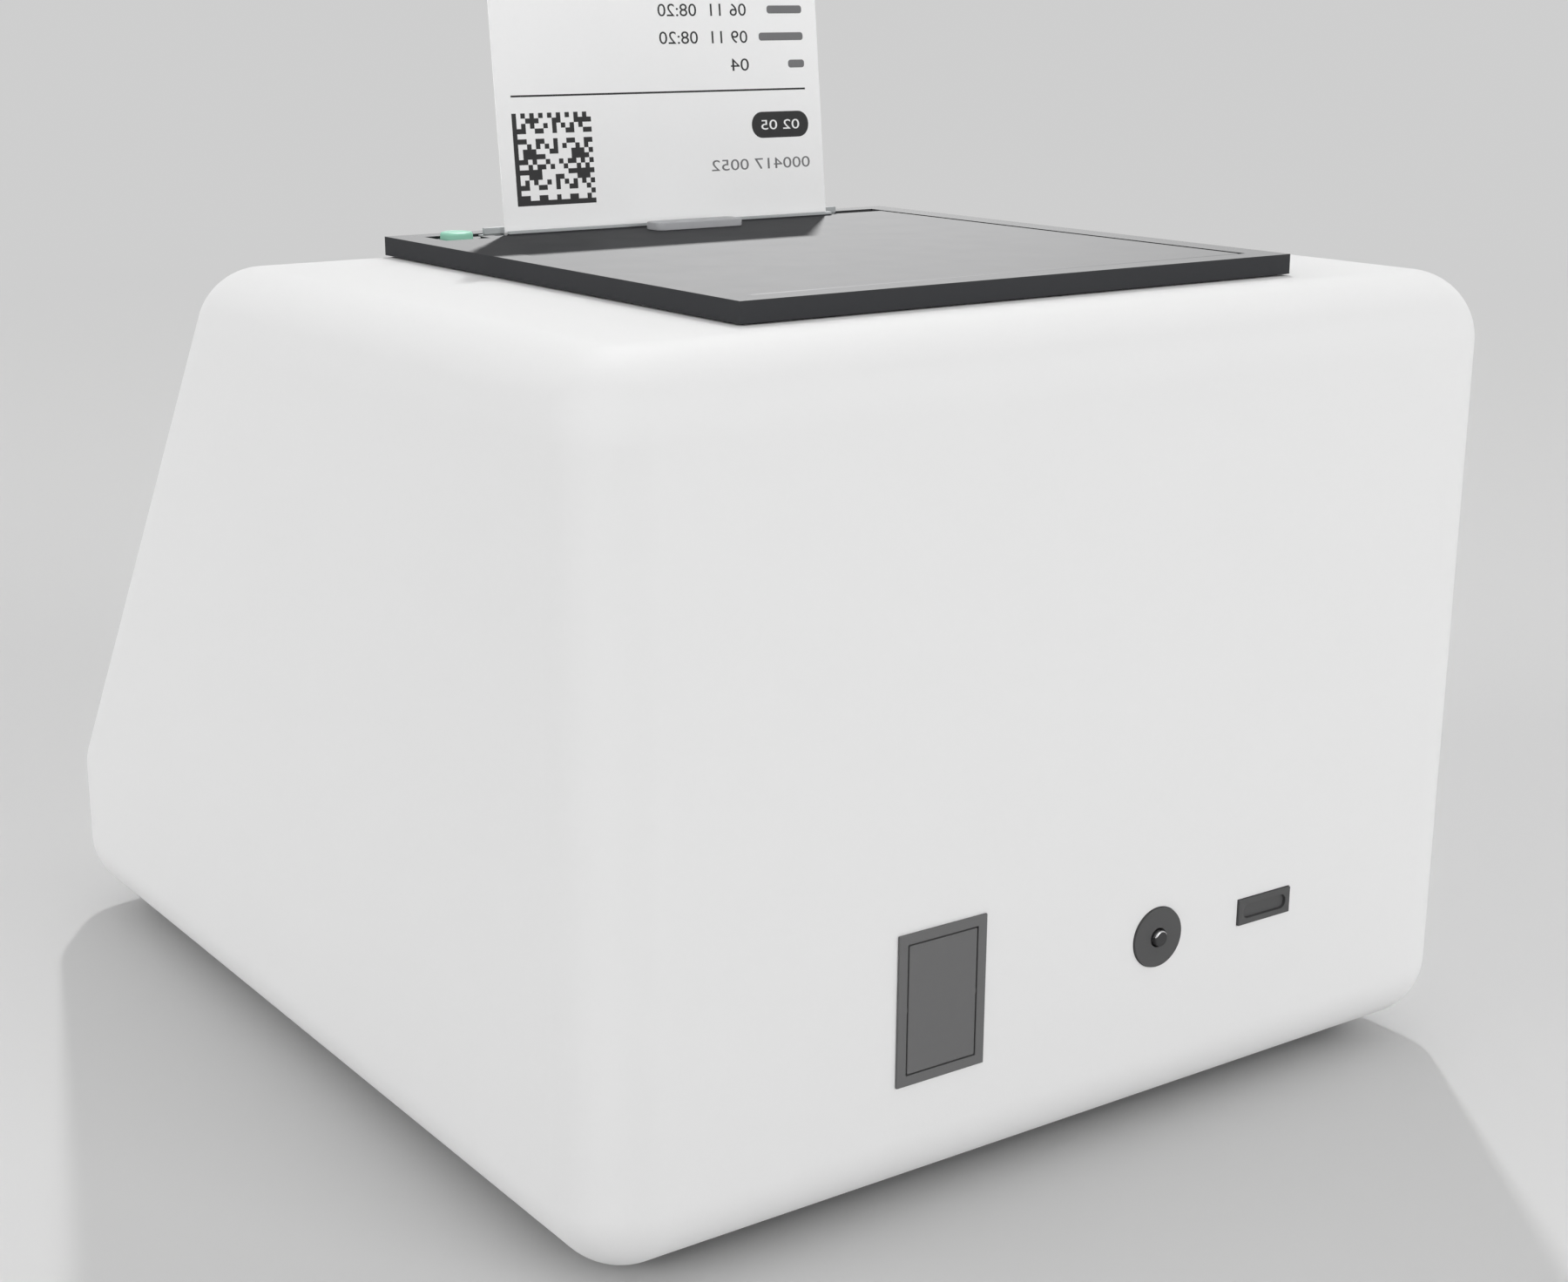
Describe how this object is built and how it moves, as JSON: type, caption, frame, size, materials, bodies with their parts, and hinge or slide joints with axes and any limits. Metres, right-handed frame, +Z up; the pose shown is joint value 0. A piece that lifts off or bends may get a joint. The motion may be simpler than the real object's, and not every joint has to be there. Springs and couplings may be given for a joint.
{
  "type": "label printer",
  "caption": "Desktop label printer: white wedge body with rounded edges, charcoal top deck, hinged door over the label roll, tear bar, feed button and rear power switch.",
  "frame": {"origin": "centre of the body's footprint, on the surface that the feet stand on", "axes": "+Z up, -Y towards the low front lip, +Y towards the rear wall with the connectors, +X to the right seen from the front"},
  "size_m": [0.16, 0.1893, 0.1759],
  "materials": {
    "shell_white": "fine satin moulded",
    "base_grey": "matt moulded",
    "foot_rubber": "matt",
    "deck_charcoal": "satin moulded",
    "tab_grey": "satin moulded",
    "bar_grey": "satin",
    "mint": "soft gloss",
    "label_paper": "smooth coated",
    "core_board": "matt",
    "platen_rubber": "ground matt",
    "gear_plastic": "natural acetal",
    "brass": "machined",
    "motor_steel": "plated",
    "head_ceramic": "glazed",
    "aluminium": "bright extruded",
    "black_plastic": "matt",
    "bin_plastic": "matt moulded",
    "board_green": "solder mask",
    "port_dark": "matt",
    "jack_metal": "plated",
    "switch_grey": "satin moulded",
    "steel": "zinc plated"
  },
  "bodies": {
    "root": {"upper_shell": "shell_white", "base_plate": "base_grey", "rubber_feet": "foot_rubber", "base_screws": "steel", "top_deck": "deck_charcoal", "tear_bar": "bar_grey", "mech_frame": "steel", "mech_screws": "steel", "motor_bracket": "steel", "motor_case": "motor_steel", "motor_screws": "steel", "gear_axle": "steel", "head_springs": "steel", "gap_sensor": "black_plastic", "roll_bin": "bin_plastic", "bin_screws": "steel", "label_web": "label_paper", "main_board": "board_green", "board_chips": "black_plastic", "board_screws": "steel", "io_board": "board_green", "power_jack": "port_dark", "jack_pin": "jack_metal", "usb_socket": "port_dark", "usb_tongue": "port_dark", "switch_frame": "switch_grey", "switch_blades": "brass", "button_spring": "steel", "tact_switch": "black_plastic", "button_board": "board_green"},
    "door": {"media_door": "deck_charcoal", "door_tab": "tab_grey", "hinge_pins": "steel", "platen_bushes": "gear_plastic"},
    "platen": {"platen_roller": "platen_rubber", "platen_shaft": "steel", "platen_gear": "gear_plastic"},
    "reducer": {"reduction_gear": "gear_plastic"},
    "rotor": {"motor_shaft": "steel", "motor_pinion": "brass"},
    "printhead": {"thermal_printhead": "head_ceramic", "head_heatsink": "aluminium", "head_pivot": "steel"},
    "roll": {"label_roll": "label_paper", "roll_core": "core_board", "roll_hubs": "bin_plastic", "roll_spindle": "black_plastic"},
    "button": {"feed_button": "mint"},
    "rocker": {"power_rocker": "switch_grey"},
    "label": {"printed_label": "label_paper"}
  },
  "joints": [
    {"name": "door_hinge", "type": "hinge", "parent": "root", "child": "door", "pos_m": [0, 0.07435, 0.12555], "axis": [-1, 0, 0], "range_deg": [0, 95]},
    {"name": "roll_spin", "type": "hinge", "parent": "root", "child": "roll", "pos_m": [0, 0.033, 0.0802], "axis": [1, 0, 0], "continuous": true},
    {"name": "platen_spin", "type": "hinge", "parent": "door", "child": "platen", "pos_m": [0, -0.0061, 0.11925], "axis": [1, 0, 0], "continuous": true},
    {"name": "reducer_spin", "type": "hinge", "parent": "root", "child": "reducer", "pos_m": [0, -0.0061, 0.11075], "axis": [1, 0, 0], "continuous": true},
    {"name": "rotor_spin", "type": "hinge", "parent": "root", "child": "rotor", "pos_m": [0, -0.0121, 0.10036], "axis": [1, 0, 0], "continuous": true},
    {"name": "head_pivot", "type": "hinge", "parent": "root", "child": "printhead", "pos_m": [0, -0.01411, 0.1052], "axis": [1, 0, 0], "range_deg": [0, 3], "stiffness_Nm_per_rad": 0.4, "springref_deg": -5.73, "deforming": ["head_springs"]},
    {"name": "feed_press", "type": "slide", "parent": "root", "child": "button", "axis": [0, 0, -1], "range_m": [0, 0.0007], "stiffness_N_per_m": 300, "springref_m": -0.001, "deforming": ["button_spring"]},
    {"name": "rocker_tilt", "type": "hinge", "parent": "root", "child": "rocker", "pos_m": [0.0254, 0.09271, 0.03241], "axis": [1, 0, 0], "range_deg": [-8, 8]},
    {"name": "label_feed", "type": "slide", "parent": "root", "child": "label", "axis": [0, -0.0941, 0.9956], "range_m": [0, 0.006]}
  ],
  "couplings": [
    {"joint": "reducer_spin", "follows": "platen_spin", "ratio": -0.88889},
    {"joint": "rotor_spin", "follows": "platen_spin", "ratio": 2.6667}
  ]
}
